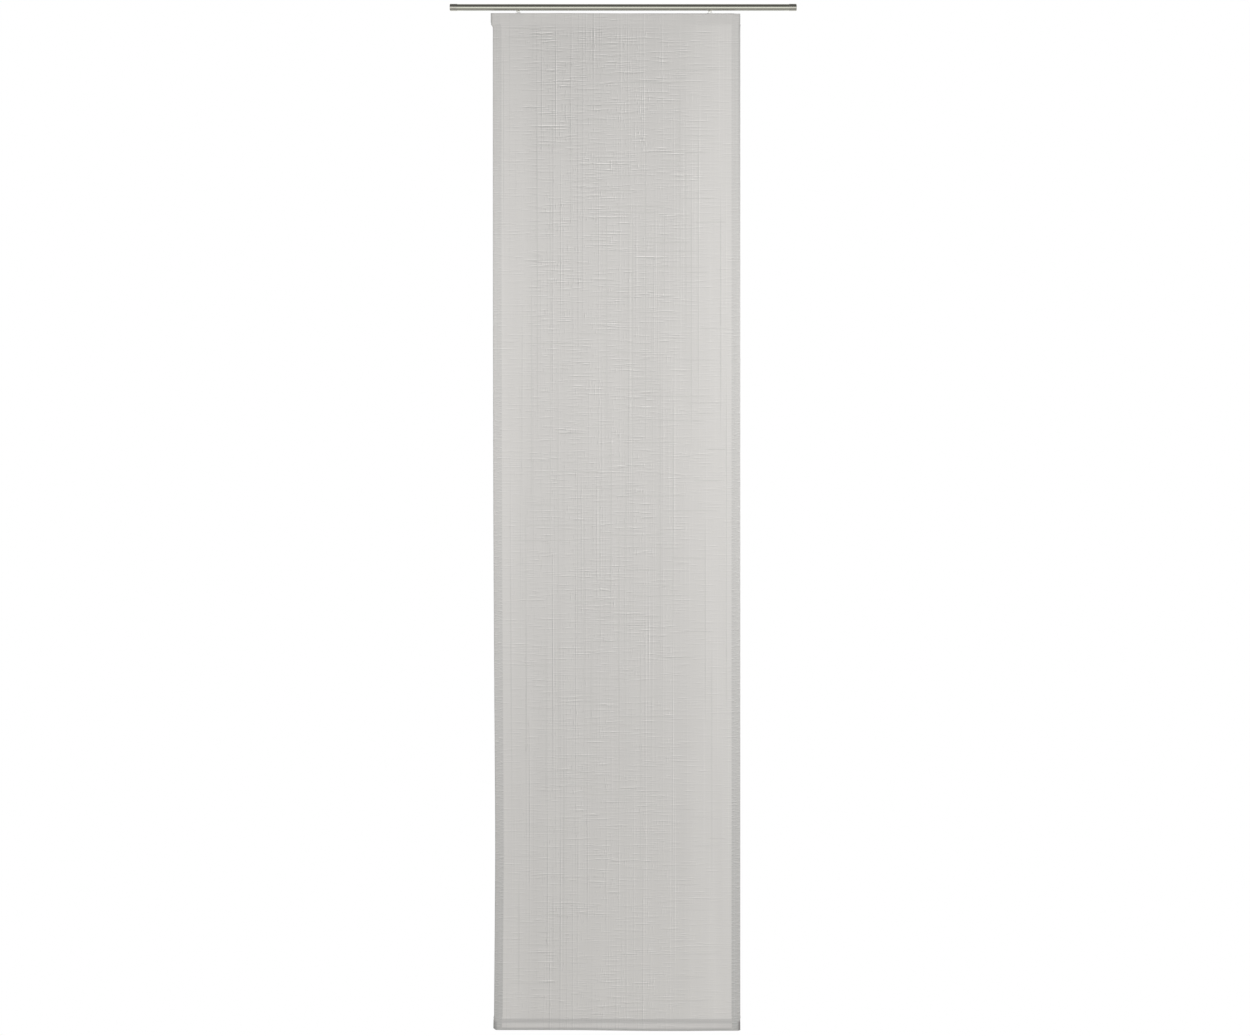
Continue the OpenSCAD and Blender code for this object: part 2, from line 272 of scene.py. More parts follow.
print(f"the left side draws in by {SIDE_DRAW / MM:.1f} mm")


# %% The field of small moves
def ease(value, low, high):
    """0 below low, 1 above high, smooth between."""
    t = min(max((value - low) / (high - low), 0), 1)
    return t * t * (3 - 2 * t)


def corner_lift(into_corner, radius):
    """How far a round corner lifts a bottom edge, from how far a point lies into the corner."""
    share = min(max(into_corner / radius, 0), 0.999)
    return radius * (1 - math.sqrt(1 - share * share))


def bell(distance, reach):
    return math.exp(-(distance / reach) ** 2)


def hang(co):
    """Where a point of the flat, sewn cloth hangs."""
    down = (top - co.z) / height
    from_left = (co.x - left) / width
    in_band = ease(co.z, band_line - BAND_BELOW, band_line + BAND_ABOVE)
    in_foot = ease(hem_line + FOOT_ABOVE - co.z, 0, FOOT_STIFFENS)
    left_end = ease(left + STIFF_END - co.x, 0, STIFF_END)
    right_end = ease(co.x - right + STIFF_END, 0, STIFF_END)
    move = Vector()
    spread = DRAW_ABOVE if down < DRAW_AT else DRAW_BELOW
    drawn_in = math.exp(-(abs(down - DRAW_AT) / spread) ** DRAW_FADE)
    move.x += SIDE_DRAW * drawn_in * max(0, 1 - 2 * from_left) ** DRAW_FADE
    move.x -= (BAND_REACH * in_band + FOOT_REACH * in_foot) * left_end
    move.x += END_REACH * (in_band + in_foot) * right_end

    drop = TOP_DROP + TOP_SAG * ease(from_left, *TOP_SAG_ALONG)
    move.z -= drop * ease(co.z, top - TOP_DROP_FROM, top - TOP_DROP_TO)
    sag = FOOT_DROP + FOOT_SAG * ease(from_left, *FOOT_SAG_ALONG)
    sag -= FOOT_RISE * ease(from_left, *FOOT_RISE_ALONG)
    hung = CLOTH_SAG * ease(bottom + CLOTH_SAG_FROM - co.z, 0, CLOTH_SAG_OVER)
    hung += (1 - CLOTH_SAG) * ease(seam_line - co.z, 0, SEAM_UP - FOOT_EDGE)
    move.z -= sag * hung
    lift = corner_lift(left + ROUND_LEFT - co.x, ROUND_LEFT)
    lift += corner_lift(co.x - right + ROUND_RIGHT, ROUND_RIGHT)
    move.z += lift * ease(seam_line - co.z, 0, SEAM_UP)

    free = ease(down, *FREE_AT_TOP) * ease(1 - down, *FREE_AT_FOOT)
    wave = sum(share * math.sin(2 * math.pi * co.x / length + lean * down + start)
               for share, length, lean, start in WAVES)
    wave += SLOW_SHARE * noise.noise(Vector((co.x * SLOW_ACROSS, 3.0, co.z * SLOW_DOWN)))
    side_gap = min(co.x - left, right - co.x)
    each_side = 7.0 + (co.x > middle)       # puckers differ from side to side
    ripple = noise.noise(Vector((side_gap / PUCKER_WIDE, each_side, co.z / PUCKER_LENGTH)))
    ripple *= bell(side_gap - SEAM_IN, PUCKER_REACH)
    move.y += (WAVE * wave + PUCKER * ripple) * free
    move.y += SEAM_DIP * bell(co.z - seam_line - FOOT_SEAM_UP, SEAM_REACH)
    return co + move


def hang_piece(piece):
    """Keeps each point's flat place as an attribute, then hangs the piece."""
    places = piece.data.attributes.new("flat_place", "FLOAT_VECTOR", "POINT")
    places.data.foreach_set("vector", [c for v in piece.data.vertices for c in v.co])
    for vertex in piece.data.vertices:
        vertex.co = hang(vertex.co)


# %% The sheet is hung and gets its thickness
hang_piece(cloth)
deselect_everything()
cloth.select_set(True)
bpy.context.view_layer.objects.active = cloth
wall = cloth.modifiers.new("layer", "SOLIDIFY")
wall.thickness = LAYER
wall.offset = 0
bpy.ops.object.modifier_apply(modifier=wall.name)
bpy.ops.object.shade_smooth()
print("cloth:", sum(len(p.vertices) - 2 for p in cloth.data.polygons), "triangles")

# %% [markdown]
# ## Thick yarns
#
# Slub cloth is woven with yarns that swell here and there. The boldest ones stand out of the surface, and
# the CAD cloth carries them as plain ridges. Their places are read off the tops of those ridges. One yarn
# is modelled as a rod with many rings, thinned towards both ends and a little uneven between, and it is
# copied into each place. Displacing the sheet itself would need a mesh many times finer.

# %% Where the thick yarns lie
RIDGE_MIN = 0.1 * MM
RIDGE_BOLD = 0.3 * MM       # crosswise yarns stand out further than this, upright ones less
RIDGE_FACING = -0.99        # a ridge's top faces straight to the front
GRID = 0.5 * MM


def box_of(points):
    return [Vector([pick(p[axis] for p in points) for axis in range(3)]) for pick in (min, max)]


ridges = {"across": {}, "upright": {}}
cad_cloth = frame["nodes"]["cloth_panel"].data
for face in cad_cloth.polygons:
    rise = cloth_front - face.center.y
    in_field = hem_line < face.center.z < band_line
    if face.normal.y > RIDGE_FACING or rise < RIDGE_MIN or not in_field:
        continue
    bold = rise > RIDGE_BOLD
    corners = [cad_cloth.vertices[i].co for i in face.vertices]
    low = box_of(corners)[0]
    rows = ridges["across" if bold else "upright"]
    key = round((low.z if bold else low.x) / GRID)
    rows[key] = box_of(corners + rows.get(key, []))
print({kind: len(rows) for kind, rows in ridges.items()}, "thick yarns")

# %% One yarn, and its copies
TIP = 0.02                  # what is left of a yarn at its tip
LATE, BLUNT = 3, 0.7        # how late a yarn thins towards its tip, and how bluntly
UNEVEN, LUMPS = 0.3, 9      # depth and number of the lumps along it


def yarn_pattern(rings):
    """A thick yarn one unit long and one unit across, along X."""
    deselect_everything()
    bpy.ops.mesh.primitive_cylinder_add(vertices=8, radius=0.5, depth=1, rotation=(0, math.pi / 2, 0))
    pattern = bpy.context.object
    bpy.ops.object.transform_apply()
    select_edges(pattern, lambda a, b: abs(a.x - b.x) > 0.5)
    bpy.ops.mesh.subdivide(number_cuts=rings)
    bpy.ops.object.mode_set(mode="OBJECT")
    for vertex in pattern.data.vertices:
        along = vertex.co.x
        lump = noise.noise(Vector((LUMPS * along, 0.3, 0.7)))
        swell = (1 + TIP - abs(2 * along) ** LATE) ** BLUNT * (1 - UNEVEN / 2 + UNEVEN * lump)
        vertex.co.y *= swell
        vertex.co.z *= swell
    bpy.ops.object.shade_smooth()
    return pattern


def lay_yarns(name, rows, rings, upright):
    """Copies the pattern onto every ridge, joins the copies and hangs them with the cloth."""
    pattern = yarn_pattern(rings)
    copies = []
    for low, high in rows.values():
        copy = pattern.copy()
        copy.data = pattern.data.copy()
        bpy.context.scene.collection.objects.link(copy)
        size = high - low
        rise = cloth_front - low.y
        copy.location = ((low.x + high.x) / 2, cloth_front, (low.z + high.z) / 2)
        copy.scale = (size.z, 2 * rise, size.x) if upright else (size.x, 2 * rise, size.z)
        copy.rotation_euler = (0, math.pi / 2 if upright else 0, 0)
        copies.append(copy)
    bpy.data.objects.remove(pattern)
    deselect_everything()
    for copy in copies:
        copy.select_set(True)
    bpy.context.view_layer.objects.active = copies[0]
    bpy.ops.object.transform_apply()
    bpy.ops.object.join()
    yarns = bpy.context.object
    yarns.name = name
    hang_piece(yarns)
    print(f"{name}: {len(copies)} yarns, {len(yarns.data.polygons)} faces")
    return yarns


slubs = [
    lay_yarns("slub_yarns_across", ridges["across"], rings=11, upright=False),
    lay_yarns("slub_yarns_upright", ridges["upright"], rings=47, upright=True),
]

# %% [markdown]
# ## Stitches
#
# The hems are sewn with a lockstitch: short dashes of thread that dip into the cloth at both ends. One
# stitch is a small ball drawn out to a dash. An array repeats it along the seam, and the row is hung by
# the same field of moves as the cloth, so it lies in the cloth's surface.

# %% A row of stitches
STITCH = 3.0 * MM
STITCH_STEP = 4.0 * MM
THREAD = 0.45 * MM


def stitch_row(name, start, end):
    along = (end - start).normalized()
    count = int((end - start).length / STITCH_STEP)
    deselect_everything()
    bpy.ops.mesh.primitive_uv_sphere_add(segments=6, ring_count=5, radius=0.5,
                                         location=start + along * STITCH / 2)
    row = bpy.context.object
    row.name = name
    row.dimensions = [STITCH if abs(a) > 0.5 else THREAD for a in along]
    bpy.ops.object.transform_apply()
    repeat = row.modifiers.new("seam", "ARRAY")
    repeat.count = count
    repeat.use_relative_offset = False
    repeat.use_constant_offset = True
    repeat.constant_offset_displace = along * STITCH_STEP
    bpy.ops.object.modifier_apply(modifier=repeat.name)
    hang_piece(row)
    bpy.ops.object.shade_smooth()
    print(f"{name}: {count} stitches")
    return row


# %% The seams
THREAD_PROUD = 0.1 * MM     # how far the middle of a thread stands before the cloth
TAPE_SEAM_IN = 2 * MM       # band seams, in from the tape's edges
BAND_SEAM_IN = 12 * MM      # band seams, in from the sides
FOOT_SEAM_IN = 2 * MM       # foot seam, in from the sides
thread_y = cloth_front - THREAD_PROUD
foot_seam = seam_line + FOOT_SEAM_UP
upper_seam, lower_seam = tape_high.z - TAPE_SEAM_IN, tape_low.z + TAPE_SEAM_IN
seams = {
    "side_seam_left": ((left + SEAM_IN, hem_line), (left + SEAM_IN, band_line)),
    "side_seam_right": ((right - SEAM_IN, hem_line), (right - SEAM_IN, band_line)),
    "foot_seam": ((left + FOOT_SEAM_IN, foot_seam), (right - FOOT_SEAM_IN, foot_seam)),
    "band_seam_upper": ((left + BAND_SEAM_IN, upper_seam), (right - BAND_SEAM_IN, upper_seam)),
    "band_seam_lower": ((left + BAND_SEAM_IN, lower_seam), (right - BAND_SEAM_IN, lower_seam)),
}
stitches = [
    stitch_row(name, *(Vector((x, thread_y, z)) for x, z in ends)) for name, ends in seams.items()
]

# %% [markdown]
# ## Finishes
#
# Colours are written as hex values read off the object and turned to linear light by one function. A
# second small function adds a node, sets it and links it, and every material below is made with those
# two, from its shader to its patterns. Inputs go to it by name, or in the node's own order: for a Map
# Range that is the value, the range it comes from and the range it goes to. A pattern's scale is always
# one over a real size.

# %% Helpers for materials
COLOUR_A, COLOUR_B, COLOUR_OUT = 6, 7, 2  # a colour Mix node's inputs, and its output
NUMBER_A, NUMBER_B = 2, 3  # a number Mix node's inputs
NOISE = 0.3, 0.7            # nearly all of a noise lies between these


def linear(hex_colour):
    """An sRGB hex colour as linear RGBA."""
    channels = [int(hex_colour[i:i + 2], 16) / 255 for i in (1, 3, 5)]
    return [c / 12.92 if c <= 0.04045 else ((c + 0.055) / 1.055) ** 2.4 for c in channels] + [1.0]


def add(tree, kind, inputs=(), stops=(), **settings):
    """Adds a node with its properties, its inputs and, for a ramp, its stops of place and colour.

    An input is given a value, a socket, or a node, which stands for its first output.
    """
    node = tree.nodes.new("ShaderNode" + kind)
    for name, value in settings.items():
        setattr(node, name, value)
    for i, (position, colour) in enumerate(stops):
        elements = node.color_ramp.elements
        element = elements[i] if i < len(elements) else elements.new(position)
        element.position = position
        element.color = linear(colour) if isinstance(colour, str) else colour
    for name, value in inputs.items() if isinstance(inputs, dict) else enumerate(inputs):
        if isinstance(value, bpy.types.Node):
            value = value.outputs[0]
        if isinstance(value, bpy.types.NodeSocket):
            tree.links.new(value, node.inputs[name])
        else:
            node.inputs[name].default_value = value
    return node


def new_material(name, attribute=None):
    """A material, its empty tree, and the place its patterns are drawn by."""
    material = bpy.data.materials.new(name)
    material.use_nodes = True
    tree = material.node_tree
    tree.nodes.clear()
    if attribute:
        return material, tree, add(tree, "Attribute", attribute_name=attribute).outputs["Vector"]
    return material, tree, add(tree, "TexCoord").outputs["Object"]


# %% [markdown]
# ### Slub weave
#
# The cloth is a plain weave of polyester and linen in pale grey. Its thinner slubs show as short dashes
# across, each a pale line with a painted shadow beside it, and as rarer lines up and down, some long and
# some short. Of the upright ones, the painted shadows are bolder at the left and the pale lines, painted
# highlight in part, at the right, as a light from the right would fall on them. The yarns are about
# 0.5 mm, too fine to show where the whole panel is in view, so a dash is drawn 2 mm wide. Rows and columns
# are counted from each point's flat place, and each row or column reads its own line through a noise,
# which breaks it into dashes.

# %% Dashes of weft and warp
DRAWN = 2.0 * MM            # one drawn row of weft or column of warp
THREAD_STEP = 5.31          # how far apart in the noise two neighbouring threads are
FINE_SHARE = 0.65           # how strong each finer octave of the noise is
CRISP = 1.5                 # how crisply a dash stands out
# Each kind's length, its octaves, the noise over which a thread swells, and its place in the noise
WEFT = 80 * MM, 3.0, (0.49, 0.76), 3.0
WARP_LONG = 1000 * MM, 2.0, (0.54, 0.77), 12.4
WARP_SHORT = 26 * MM, 2.0, (0.54, 0.78), 17.0
HEM_WEFT = 16 * MM, 3.0, (0.46, 0.78), 23.0

weave, tree, flat = new_material("slub_weave_polyester_linen", "flat_place")
place = add(tree, "SeparateXYZ", (flat,)).outputs


def dashes(across, along, neighbour, kind):
    """How thick each thread, or its neighbour, is along its length: 0 if plain, 1 at its boldest."""
    dash, octaves, swell, seed = kind
    count = add(tree, "Math", (across, DRAWN), operation="DIVIDE")
    thread = add(tree, "Math", (count,), operation="FLOOR")
    row = add(tree, "Math", (thread, THREAD_STEP, neighbour * THREAD_STEP), operation="MULTIPLY_ADD")
    way = add(tree, "Math", (along, dash), operation="DIVIDE")
    spot = add(tree, "CombineXYZ", (way, row, seed))
    drift = add(tree, "TexNoise", {"Vector": spot, "Scale": 1.0, "Detail": octaves,
                                   "Roughness": FINE_SHARE})
    thick = add(tree, "MapRange", (drift, *swell))
    return add(tree, "Math", (thick, CRISP), operation="POWER")


def thread_lines(across, along, pale, dark, kind):
    """Dashes of one kind: each thread as strong as pale, and a painted shadow on the thread beside it, as
    strong as dark.
    """
    threads, shadow_beside = (dashes(across, along, neighbour, kind) for neighbour in (0, 1))
    threads = add(tree, "Math", (threads, pale), operation="MULTIPLY")
    return add(tree, "Math", (shadow_beside, dark, threads), operation="MULTIPLY_ADD")


# %% Weft, warp and hem
# The upright lines are painted as lit from the right: the pale lines' painted highlight grows towards the
# right, the painted shadow beside them towards the left.
PALE_WARP_AND_HIGHLIGHT = 0.4, 1.5        # strength of the pale upright lines at the left and at the right
WARP_PAINTED_SHADOW = -1.7, -0.6      # and of the dark ones
WEFT_PAINTED_SHADOW = -1.15           # dark dashes across, against pale ones of 1
SHORT_SHARE = 0.7           # short upright lines, against long ones of 1
pale_warp_and_highlight = add(tree, "MapRange", (place["X"], left, right, *PALE_WARP_AND_HIGHLIGHT))
warp_painted_shadow = add(tree, "MapRange", (place["X"], left, right, *WARP_PAINTED_SHADOW))
# Each dash across has a painted shadow on the row of thread beside it.
weft = thread_lines(place["Z"], place["X"], 1.0, WEFT_PAINTED_SHADOW, WEFT)
warp_long = thread_lines(place["X"], place["Z"], pale_warp_and_highlight, warp_painted_shadow, WARP_LONG)
warp_short = thread_lines(place["X"], place["Z"], pale_warp_and_highlight, warp_painted_shadow, WARP_SHORT)
warp = add(tree, "Math", (warp_short, SHORT_SHARE, warp_long), operation="MULTIPLY_ADD")
# The hem's dashes have a painted shadow beside them as well.
hem_weft = thread_lines(place["Z"], place["X"], 1.0, -1.0, HEM_WEFT)
print(len(tree.nodes), "nodes draw the dashes")

# %% [markdown]
# The dashes are boldest in the upper middle and fade towards the sides and the foot. Along the way they
# come and go in patches, and strips of warp from one bobbin are bolder than the next. In the side hems,
# which the seam puckers, dashes lie too, shorter and closer, each again with a painted shadow beside it.

# %% Where the dashes are bold
BOLD_X = left + 0.45 * width
# How far from that line dashes are boldest and faintest, and their strength at those two
WEFT_BOLD = 110 * MM, 270 * MM, 1.0, 0.42
WARP_BOLD = 90 * MM, 250 * MM, 0.95, 0.16
WEFT_SHARE = 1.3            # weft against warp
ZONE, ZONE_LONG = 32 * MM, 700 * MM  # a strip of warp from one bobbin
# The noise at which a strip is faintest and boldest, and its strength at those two
ZONE_BOLD = 0.35, 0.65, 0.65, 1.3


def distance_from(axis, line):
    """How far each point's flat place lies from a line."""
    gap = add(tree, "Math", (place[axis], line), operation="SUBTRACT")
    return add(tree, "Math", (gap,), operation="ABSOLUTE")


off_line = distance_from("X", BOLD_X)
weft_side = add(tree, "MapRange", (off_line, *WEFT_BOLD), interpolation_type="SMOOTHSTEP")
warp_side = add(tree, "MapRange", (off_line, *WARP_BOLD), interpolation_type="SMOOTHSTEP")
strip = add(tree, "Mapping", {"Vector": flat, "Scale": (1 / ZONE, 1 / ZONE, 1 / ZONE_LONG)})
zones = add(tree, "TexNoise", {"Vector": strip, "Scale": 1.0, "Detail": 1.0})
by_zone = add(tree, "MapRange", (zones, *ZONE_BOLD))
warp_side = add(tree, "Math", (warp_side, by_zone), operation="MULTIPLY")
weft_slub = add(tree, "Math", (weft, weft_side), operation="MULTIPLY")
weft_slub = add(tree, "Math", (weft_slub, WEFT_SHARE), operation="MULTIPLY")
slub = add(tree, "Math", (warp, warp_side, weft_slub), operation="MULTIPLY_ADD")
print(f"boldest {BOLD_X / MM:.0f} mm from the rail's middle")

# %% How bold, by height and patch
FOOT_VIGOUR, TOP_VIGOUR = 0.76, 0.5  # strength at the foot, and how much more there is at the top
VIGOUR_LATE = 4.0           # how late on the way up that comes
CLOUD, CLOUD_TALL = 110 * MM, 45 * MM  # size of the patches in which dashes come and go
CLOUD_STRENGTH = 0.45, 1.55
BAND_FADE = 20 * MM         # length below the top band over which they fade
BAND_FAINT = 0.4

up_share = add(tree, "MapRange", (place["Z"], bottom, top))
up_rise = add(tree, "Math", (up_share, VIGOUR_LATE), operation="POWER")
by_height = add(tree, "Math", (up_rise, TOP_VIGOUR, FOOT_VIGOUR), operation="MULTIPLY_ADD")
cloud = add(tree, "Mapping", {"Vector": flat, "Scale": (1 / CLOUD, 1, 1 / CLOUD_TALL)})
patches = add(tree, "TexNoise", {"Vector": cloud, "Scale": 1.0, "Detail": 2.0})
by_patch = add(tree, "MapRange", (patches, *NOISE, *CLOUD_STRENGTH))
by_band = add(tree, "MapRange", (place["Z"], band_line - BAND_FADE, band_line, 1.0, BAND_FAINT))
vigour = add(tree, "Math", (by_height, by_patch), operation="MULTIPLY")
vigour = add(tree, "Math", (vigour, by_band), operation="MULTIPLY")
print(f"patches of {CLOUD / MM:.0f} by {CLOUD_TALL / MM:.0f} mm")

# %% Dashes in the side hems
HEM_SOFT = 0.6 * MM         # how gradually a hem begins
HEM_STRENGTH = 2.3, 0.35    # of its dashes, at the foot and at the top
hem_starts = width / 2 - SIDE_HEM
off_middle = distance_from("X", middle)
in_side_hem = add(tree, "MapRange", (off_middle, hem_starts - HEM_SOFT, hem_starts + HEM_SOFT))
by_hem_height = add(tree, "MapRange", (place["Z"], bottom, top, *HEM_STRENGTH))
hem_relief = add(tree, "Math", (hem_weft, in_side_hem), operation="MULTIPLY")
hem_relief = add(tree, "Math", (hem_relief, by_hem_height), operation="MULTIPLY")
relief = add(tree, "Math", (slub, vigour, hem_relief), operation="MULTIPLY_ADD")
print(f"hems begin {hem_starts / MM:.0f} mm from the middle")

# %% [markdown]
# Under the dashes lies the ground of the cloth: slow changes of tone from yarn to yarn, and the over and
# under of the weave itself, 1.2 mm from thread to thread, which only a close view shows. The stiff band
# and the tunnel have a tone of their own. Two and three layers of cloth let less light through than one,
# so the hems are given painted shade, more so lower down. The folds turning away at the sides, the crease
# along the foot's seam, the foot's round underside and the open ends of the tunnel get painted shade too.

# %% Ground
# How far from the bold line the weave is densest and most open, and the tone of its yarns at those two
DENSE = 140 * MM, 290 * MM, -0.23, -0.01
STIFF_TONE = -0.1, -0.26    # of the band and the tunnel, in the middle and at the right
TUNNEL_SOFT = 3 * MM        # how gradually the tunnel begins
ZONE_TONE = 0.2             # how much the tone changes from strip to strip

ground = add(tree, "MapRange", (off_line, *DENSE), interpolation_type="SMOOTHSTEP")
in_band = add(tree, "MapRange", (place["Z"], band_line - HEM_SOFT, band_line + HEM_SOFT))
in_tunnel = add(tree, "MapRange", (place["Z"], seam_line, seam_line - TUNNEL_SOFT))
stiff = add(tree, "Math", (in_band, in_tunnel), operation="ADD")
stiff_tone = add(tree, "MapRange", (place["X"], middle, right, *STIFF_TONE))
ground = add(tree, "Mix", {"Factor": stiff, NUMBER_A: ground, NUMBER_B: stiff_tone},
             data_type="FLOAT")
ground = add(tree, "Math", (zones, ZONE_TONE, ground), operation="MULTIPLY_ADD")
ground = add(tree, "Math", (relief, ground), operation="ADD")
tone = add(tree, "MapRange", (ground, -1.0, 1.0))
yarn_and_painted_shadow = add(tree, "ValToRGB", (tone,), [(0.0, "#adaba9"), (0.5, "#c8c6c3"), (1.0, "#e3e1de")])
print(len(tree.nodes), "nodes with the ground")

# %% Painted shade in the side hems
HEM_SHADE, HEM_SHADE_MORE = 0.2, 0.36  # how dark a hem is at the top, and how much darker at the foot
HEM_LATE = 3.0              # how late on the way down that comes
HEM_IN_BAND = 0.4           # what is left of it in the top band
# How far in from the edge the painted shade of a fold turning away begins and is whole, and its strength
LEFT_FOLD, LEFT_FOLD_SHADE = (3 * MM, 1 * MM), 0.2
RIGHT_FOLD, RIGHT_FOLD_SHADE = (7 * MM, 1 * MM), 0.45
RIGHT_FOLD_LONG = 700 * MM  # length from the top over which the right fold's darkness goes

# Painted shade: the hems are darker for the light their layers hold back, more so lower down, and darker
# still where the folds turn away at the edges.
down_share = add(tree, "Math", (1.0, up_share), operation="SUBTRACT")
down_rise = add(tree, "Math", (down_share, HEM_LATE), operation="POWER")
painted_hem_shade = add(tree, "Math", (down_rise, HEM_SHADE_MORE, HEM_SHADE), operation="MULTIPLY_ADD")
left_fold_shade = add(tree, "MapRange", (place["X"], *(left + x for x in LEFT_FOLD), 0.0, LEFT_FOLD_SHADE))
right_fold_shade = add(tree, "MapRange", (place["X"], *(right - x for x in RIGHT_FOLD)))
right_shade_by_height = add(tree, "MapRange", (place["Z"], top - RIGHT_FOLD_LONG, top, 0.0, RIGHT_FOLD_SHADE))
right_fold_shade = add(tree, "Math", (right_fold_shade, right_shade_by_height), operation="MULTIPLY")
band_share = add(tree, "MapRange", (in_band, 0.0, 1.0, 1.0, HEM_IN_BAND))
painted_hem_shade = add(tree, "Math", (painted_hem_shade, band_share, left_fold_shade), operation="MULTIPLY_ADD")
painted_hem_shade = add(tree, "Math", (painted_hem_shade, right_fold_shade), operation="ADD")
painted_shade = add(tree, "Math", (in_side_hem, painted_hem_shade), operation="MULTIPLY")
print(len(tree.nodes), "nodes with the side hems")

# %% Painted shade in the foot
SEAM_SHADE_REACH, SEAM_SHADE = (7 * MM, 3 * MM), 0.44  # painted shade of the crease along the seam: how far from it it begins and is whole, and its strength
# Painted shade for the light that the tunnel's layers hold back
TUNNEL_SHADE = 0.1
UNDERSIDE_TOP, UNDERSIDE_WHOLE = 10.5 * MM, 3 * MM  # painted shade of the foot's round underside: how far above the bottom it begins and is whole
UNDERSIDE_SHADE = 0.62

painted_seam_shade = add(tree, "MapRange", (distance_from("Z", seam_line), *SEAM_SHADE_REACH, 0.0, SEAM_SHADE),
                  interpolation_type="SMOOTHSTEP")
painted_tunnel_shade = add(tree, "Math", (in_tunnel, TUNNEL_SHADE), operation="MULTIPLY")
painted_underside_shade = add(tree, "MapRange", (place["Z"], bottom + UNDERSIDE_TOP, bottom + UNDERSIDE_WHOLE,
                                     0.0, UNDERSIDE_SHADE), interpolation_type="SMOOTHSTEP")
for more in (painted_seam_shade, painted_tunnel_shade, painted_underside_shade):
    painted_shade = add(tree, "Math", (painted_shade, more), operation="MAXIMUM")
# The painted shade mixes the yarn towards the grey #9a9a99.
shaded_yarn = add(tree, "Mix", {"Factor": painted_shade, COLOUR_A: yarn_and_painted_shadow, COLOUR_B: linear("#9a9a99")},
             data_type="RGBA")
print(len(tree.nodes), "nodes with the foot")

# %% Painted shade at the open ends of the tunnel
# How far in from the edge the painted shade of an open end begins and is whole, and its strength
LEFT_END, LEFT_END_SHADE = (11 * MM, 7 * MM), 0.3
RIGHT_END, RIGHT_END_SHADE = (8 * MM, 5 * MM), 0.5
END_ABOVE, END_BELOW = 2 * MM, 4 * MM  # the ends begin above the seam and are whole below it
left_end_shade = add(tree, "MapRange", (place["X"], *(left + x for x in LEFT_END), 0.0, LEFT_END_SHADE))
right_end_shade = add(tree, "MapRange", (place["X"], *(right - x for x in RIGHT_END), 0.0, RIGHT_END_SHADE))
# ends holds the painted shade of both open ends, below the seam.
ends = add(tree, "Math", (left_end_shade, right_end_shade), operation="ADD")
below_seam = add(tree, "MapRange", (place["Z"], seam_line + END_ABOVE, seam_line - END_BELOW))
ends = add(tree, "Math", (ends, below_seam), operation="MULTIPLY")
# The ends are mixed towards the painted shade colour #5a5a59.
shaded_yarn = add(tree, "Mix", {"Factor": ends, COLOUR_A: shaded_yarn.outputs[COLOUR_OUT],
                           COLOUR_B: linear("#5a5a59")}, data_type="RGBA")
print(len(tree.nodes), "nodes with the open ends")

# %% The cloth's shader
WEAVE_STEP = 1.2 * MM
over_under = []
for axis in ("X", "Z"):
    phase = add(tree, "Math", (place[axis], 2 * math.pi / WEAVE_STEP), operation="MULTIPLY")
    over_under.append(add(tree, "Math", (phase,), operation="SINE"))
fine = add(tree, "Math", over_under, operation="MULTIPLY")
woven = add(tree, "Bump", {"Height": fine, "Strength": 0.4, "Distance": 0.08 * MM})
raised = add(tree, "Bump", {"Height": relief, "Strength": 0.1, "Distance": 0.3 * MM,
                            "Normal": woven})
shader = add(tree, "BsdfPrincipled", {
    "Base Color": shaded_yarn.outputs[COLOUR_OUT], "Normal": raised, "Roughness": 0.85,
    "Sheen Weight": 0.12, "Sheen Roughness": 0.5,
})
add(tree, "OutputMaterial", (shader,))
cloth.data.materials.append(weave)
print(f"{weave.name}: {len(tree.nodes)} nodes")

# %% [markdown]
# ### Thick yarn and sewing thread
#
# A thick yarn is a soft bundle of the same fibres, proud of the weave, so that it catches the light. The
# sewing thread is spun polyester dyed to match. Both are twisted, which shows as slanting lines along
# them.

# %% Twisted yarns
def twisted(name, dark, pale, twist, depth, roughness):
    """A yarn with slanting lines, one line to each twist."""
    material, tree, flat = new_material(name, "flat_place")
    slants = add(tree, "TexWave", {"Vector": flat, "Scale": 0.5 / twist, "Distortion": 1.5,
                                   "Detail": 2.0, "Detail Scale": 2.0},
                 wave_type="BANDS", bands_direction="DIAGONAL").outputs["Fac"]
    colour = add(tree, "ValToRGB", (slants,), [(0.0, dark), (1.0, pale)])
    bump = add(tree, "Bump", {"Height": slants, "Strength": 0.5, "Distance": depth})
    shader = add(tree, "BsdfPrincipled", {"Base Color": colour, "Normal": bump,
                                          "Roughness": roughness, "Sheen Weight": 0.15})
    add(tree, "OutputMaterial", (shader,))
    print(f"{name}: one line to {twist / MM:.1f} mm")
    return material


slub_yarn = twisted("slub_yarn_polyester_linen", "#b8b7b4", "#c7c6c3",
                    twist=2.0 * MM, depth=0.1 * MM, roughness=0.85)
thread = twisted("spun_polyester_thread", "#bfbebb", "#d2d1ce",
                 twist=0.6 * MM, depth=0.05 * MM, roughness=0.55)
for piece in slubs:
    piece.data.materials.append(slub_yarn)
for row in stitches:
    row.data.materials.append(thread)

# %% [markdown]
# ### Metals
#
# The tube is steel with satin nickel plate: warm grey, with faint streaks along it from polishing. Its
# end caps are ABS with the same plate, a little blunter. The weight bar is plain drawn aluminium. They
# differ in colour, in roughness and in how strongly the lines along them show, so one function takes
# those.

